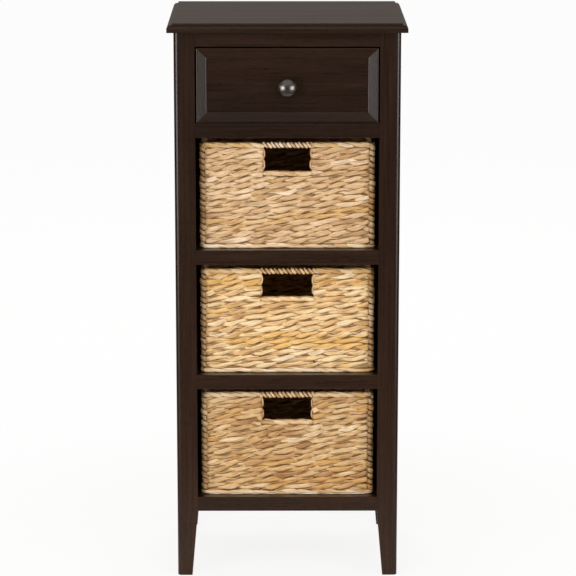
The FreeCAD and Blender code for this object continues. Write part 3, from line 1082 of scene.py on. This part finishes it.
def corner_core(rng, centre, bottom, top):
    """The upright inside a corner winding, which closes the slits between its bumps."""
    levels = [bottom + (top - bottom) * i / CORE_STEPS for i in range(CORE_STEPS + 1)]
    return new_strand([centre + Vector((0, 0, z)) for z in levels], rng.random())


def floor_rows(rng, centre, half_x, half_y):
    """Rows across the floor, with strands that lie wide and flat."""
    count = int(2 * half_y / FLOOR_PITCH)
    reach = Vector((half_x + FLOOR_TUCK, 0, 0))
    rows = []
    for i in range(count):
        row_middle = centre + Vector((0, (i - (count - 1) / 2) * FLOOR_PITCH, 0))
        path, length = straight(row_middle - reach, row_middle + reach, FRONTWARD)
        lay = LAY * rng.uniform(*FLOOR_LAY_SPREAD)
        rows += twist(rng, path, length, lay, rng.uniform(0, FULL_TURN), **FLOOR_ROW)
    return rows


print("a corner strand rises", round(CORNER_PITCH / MM, 1), "mm in a turn")

# %% [markdown]
# All parts of a basket are laid out from the boxes of the plain nodes that they replace, and
# every random choice comes from one seeded generator, so that each run gives the same basket.

# %% Parts of one basket
GRIP_PAST_HOLE = 3.5 * MM
RIM_DROP = 0.8 * MM
COLUMN_FOOT = 5 * MM
COLUMN_TOP = 2 * MM
LOOP_INSET = 1.4 * MM
FLOOR_HEIGHT = 5 * MM


def basket_parts(name, seed):
    """The meshes of one basket in their places, each with its fibre."""
    rng = random.Random(seed)
    low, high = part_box(f"{name}_basket_weave")
    rim_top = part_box(f"{name}_basket_rim")[1].z
    half_x, half_y = (high.x - low.x) / 2, (high.y - low.y) / 2
    middle = Vector(((low.x + high.x) / 2, (low.y + high.y) / 2, 0))
    hole_z = high.z - HOLE_HEIGHT
    hole_half = HOLE_HALF_WIDTHS[name]
    grip_half = hole_half + GRIP_PAST_HOLE
    rim_z = (high.z + rim_top) / 2 - RIM_DROP
    sill_z = hole_z - SILL_DROP - SILL_HEIGHT / 2
    front_middle = WALL_MIDDLE - half_y

    rows, stems = wall_rows(rng, middle, half_x, half_y, low.z, hole_z, hole_half)
    borders = base_and_rim(rng, middle, half_x, half_y, low.z, rim_z, grip_half)
    sill = hole_sill(rng, middle + Vector((0, front_middle, sill_z)), hole_half)
    columns, cores = [], []
    bottom, top = low.z + COLUMN_FOOT, high.z + COLUMN_TOP
    for x in (-1, 1):
        for y in (-1, 1):
            corner = Vector((x * (half_x - COLUMN / 2), y * (half_y - COLUMN / 2), 0))
            columns.append(corner_winding(rng, middle + corner, bottom, top))
            cores.append(corner_core(rng, middle + corner, bottom, top))
    loops = hole_loops(rng, middle + Vector((0, LOOP_INSET - half_y, hole_z)), hole_half)
    floor_middle = middle + Vector((0, 0, low.z + FLOOR_HEIGHT))
    floor = floor_rows(rng, floor_middle, half_x - WALL, half_y - WALL)
    cord = wound_cord(rng, middle + Vector((0, front_middle, rim_z)), grip_half)

    fibre = weave_fibre[name]
    return [
        (strands_to_mesh(rows, ROW_SECTION), fibre),
        # the slit stems and corner windings get the stem darkened as painted shade, the cores a
        # darker one
        (strands_to_mesh(stems, STEM_SECTION), painted_shade_fibre),
        (strands_to_mesh(sill, SILL_SECTION), fibre),
        (strands_to_mesh(columns, CORNER_SECTION), painted_shade_fibre),
        (strands_to_mesh(cores, CORE_SECTION, upright=False), core_painted_shade_fibre),
        (strands_to_mesh(borders, BORDER_SECTION), pale_fibre),
        (strands_to_mesh([cord], CORD_SECTION, upright=False), bright_fibre),
        (strands_to_mesh(loops, LOOP_SECTION, upright=False), fibre),
        (strands_to_mesh(floor, FLOOR_SECTION), fibre),
    ]


# %% [markdown]
# Each basket is one piece that rides on its own body and hides the three plain nodes that it
# stands for. The open ends of the strands are closed, so that the piece is a set of closed
# skins, and the normals are left as the curves made them. The base is pressed flat where it
# stands, so that it slides over the rails without touching them.

# %% Build the three baskets
FIRST_SEED = 11


def join(name, parts, lowest):
    """One object from several meshes, with closed strand ends and nothing below one height."""
    bm = bmesh.new()
    materials = []
    for part, material in parts:
        if material not in materials:
            materials.append(material)
        before = len(bm.faces)
        bm.from_mesh(part)
        bpy.data.meshes.remove(part)
        bm.faces.ensure_lookup_table()
        for face in bm.faces[before:]:
            face.material_index = materials.index(material)
    ends = [edge for edge in bm.edges if edge.is_boundary]
    bmesh.ops.holes_fill(bm, edges=ends, sides=0)
    for vert in bm.verts:
        vert.co.z = max(vert.co.z, lowest)
    for face in bm.faces:
        face.smooth = True
    return new_object(name, mesh_from(bm, name, *materials))


for seed, name in enumerate(("lower", "middle", "upper"), start=FIRST_SEED):
    stands_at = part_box(f"{name}_basket_weave")[0].z
    basket = join(f"{name}_woven_basket", basket_parts(name, seed), stands_at)
    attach(basket, f"{name}_basket")
    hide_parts(*[f"{name}_basket_{piece}" for piece in ("weave", "rim", "grip")])
    triangles = sum(len(face.vertices) - 2 for face in basket.data.polygons)
    print(basket.name, triangles, "triangles")

# %% [markdown]
# The knob is a smooth mushroom, cast and then polished. The plain frame holds it with a few
# straight cones. Here half of its outline is drawn as a few points, each a radius and a reach
# in millimetres, and spun round the knob's own axis, and a subdivision surface makes it round.
# It sits on the drawer panel as before.

# %% Knob
KNOB_STEPS = 32
SAME_PLACE = 0.01 * MM
knob_outline = [
    (0, 0), (7.7, 0), (8.0, 0.4), (8.0, 2.0), (7.5, 2.6), (6.0, 3.3), (5.4, 4.8), (5.5, 7.2),
    (7.0, 9.4), (10.6, 12.0), (14.2, 14.6), (15.3, 16.4), (15.5, 18.2), (15.0, 19.8),
    (13.3, 21.4), (10.0, 23.7), (5.2, 25.6), (0, 26.1),
]

low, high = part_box("knob")
knob_place = Vector(((low.x + high.x) / 2, high.y, (low.z + high.z) / 2))
bm = bmesh.new()
previous = None
for radius, reach in knob_outline:
    vert = bm.verts.new((radius * MM, -reach * MM, 0))
    if previous:
        bm.edges.new((previous, vert))
    previous = vert
bmesh.ops.spin(
    bm, geom=bm.verts[:] + bm.edges[:], cent=(0, 0, 0), axis=(0, 1, 0), angle=FULL_TURN,
    steps=KNOB_STEPS, use_merge=True,
)
bmesh.ops.remove_doubles(bm, verts=bm.verts[:], dist=SAME_PLACE)
bmesh.ops.recalc_face_normals(bm, faces=bm.faces[:])
bmesh.ops.translate(bm, verts=bm.verts[:], vec=knob_place)
for face in bm.faces:
    face.smooth = True
turned_knob = new_object("turned_knob", mesh_from(bm, "turned_knob", pewter))
rounding = turned_knob.modifiers.new("rounding", "SUBSURF")
rounding.levels = rounding.render_levels = 2
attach(turned_knob, "drawer")
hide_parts("knob")
print("knob", len(turned_knob.data.polygons), "faces before rounding")

# %% [markdown]
# The runners, the kickers and the drawer front are held by ordinary zinc plated screws with a
# low round head and a cross recess. A head starts as a grid of five by five cells. Its corners
# lie on three rings: the outer one is pulled on to a circle, the inner two shape the cross, the
# middle is raised, and the five cells of the cross are pushed in.

# %% Screw head
GRID_CELLS = 5
SCREW_RADIUS = 4.0 * MM
SCREW_HEIGHT = 1.5 * MM
SCREW_CROWN = 0.45
RECESS_ARM = 0.85 * MM
RECESS_DEPTH = 1.1 * MM
RECESS_TAPER = 0.8
RING_REACHES = {1: RECESS_ARM, 3: 2.4 * RECESS_ARM, GRID_CELLS: SCREW_RADIUS}


def screw_head(bm, place, facing, turn):
    """Adds one screw head to a mesh, on a surface that faces a direction."""
    grid = bmesh.ops.create_grid(bm, x_segments=GRID_CELLS, y_segments=GRID_CELLS, size=1.0)
    verts = grid["verts"]
    faces = dict.fromkeys(face for vert in verts for face in vert.link_faces)
    cross = [face for face in faces if sum(abs(v) for v in face.calc_center_median()) < 0.5]
    for vert in verts:
        flat = vert.co.xy
        square = max(abs(flat.x), abs(flat.y))
        ring = round(square * GRID_CELLS)
        way = flat.normalized() if ring == GRID_CELLS else flat / square
        vert.co.xy = way * RING_REACHES[ring]
        vert.co.z = SCREW_HEIGHT * (1 - SCREW_CROWN * (vert.co.xy.length / SCREW_RADIUS) ** 2)
    rim = [e for e in bm.edges if e.is_boundary and all(v in verts for v in e.verts)]
    skirt = bmesh.ops.extrude_edge_only(bm, edges=rim)["geom"]
    low_verts = [g for g in skirt if isinstance(g, bmesh.types.BMVert)]
    for vert in low_verts:
        vert.co.z = 0
    sunk = bmesh.ops.extrude_face_region(bm, geom=cross)["geom"]
    deep_verts = [g for g in sunk if isinstance(g, bmesh.types.BMVert)]
    bmesh.ops.delete(bm, geom=cross, context="FACES")
    for vert in deep_verts:
        vert.co.z -= RECESS_DEPTH
        vert.co.xy *= RECESS_TAPER
    placed = Matrix.Translation(place) @ facing.to_track_quat("Z", "Y").to_matrix().to_4x4()
    placed = placed @ Matrix.Rotation(turn, 4, "Z")
    head_verts = list(dict.fromkeys(verts + low_verts + deep_verts))
    bmesh.ops.transform(bm, matrix=placed, verts=head_verts)


print("screw heads", round(2 * SCREW_RADIUS / MM), "mm across")

# %% [markdown]
# The screws sit where a maker would put them: two in each runner and kicker, near its ends, and
# four through the box front into the drawer's panel. All heads of one body are one piece.

# %% Screws
SCREW_SEED = 5
END_SHARES = (0.18, 0.82)
KICKER_INSET = 9 * MM
FRONT_SCREWS_ACROSS = (-0.62, 0.62)
FRONT_SCREWS_UP = (0.3, 0.75)


def screws(name, body, places):
    """One object with all the screw heads of a body."""
    rng = random.Random(SCREW_SEED)
    bm = bmesh.new()
    for place, facing in places:
        screw_head(bm, Vector(place), Vector(facing), rng.uniform(0, math.pi))
    made = new_object(name, mesh_from(bm, name, zinc))
    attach(made, body)
    print(name, len(places), "heads,", len(made.data.polygons), "faces")


carcass_places = []
for side in ("left", "right"):
    for level in ("lower", "middle", "upper", "drawer"):
        low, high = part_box(f"{level}_{side}_runner")
        inner_x, facing = (high.x, (1, 0, 0)) if side == "left" else (low.x, (-1, 0, 0))
        for share in END_SHARES:
            y = low.y + share * (high.y - low.y)
            carcass_places.append(((inner_x, y, (low.z + high.z) / 2), facing))
    low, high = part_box(f"{side}_kicker")
    kicker_x = low.x + KICKER_INSET if side == "left" else high.x - KICKER_INSET
    for share in END_SHARES:
        y = low.y + share * (high.y - low.y)
        carcass_places.append(((kicker_x, y, low.z), (0, 0, -1)))
screws("carcass_screws", "carcass", carcass_places)

low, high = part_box("drawer_box_front")
front_places = [
    ((across * high.x, high.y, low.z + up * (high.z - low.z)), (0, 1, 0))
    for across in FRONT_SCREWS_ACROSS for up in FRONT_SCREWS_UP
]
screws("drawer_front_screws", "drawer", front_places)

# %% [markdown]
# At the end the box round the dressed model is measured, because the looks may stand proud of
# the frame by only a few millimetres.

# %% Sizes and finish
low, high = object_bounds()
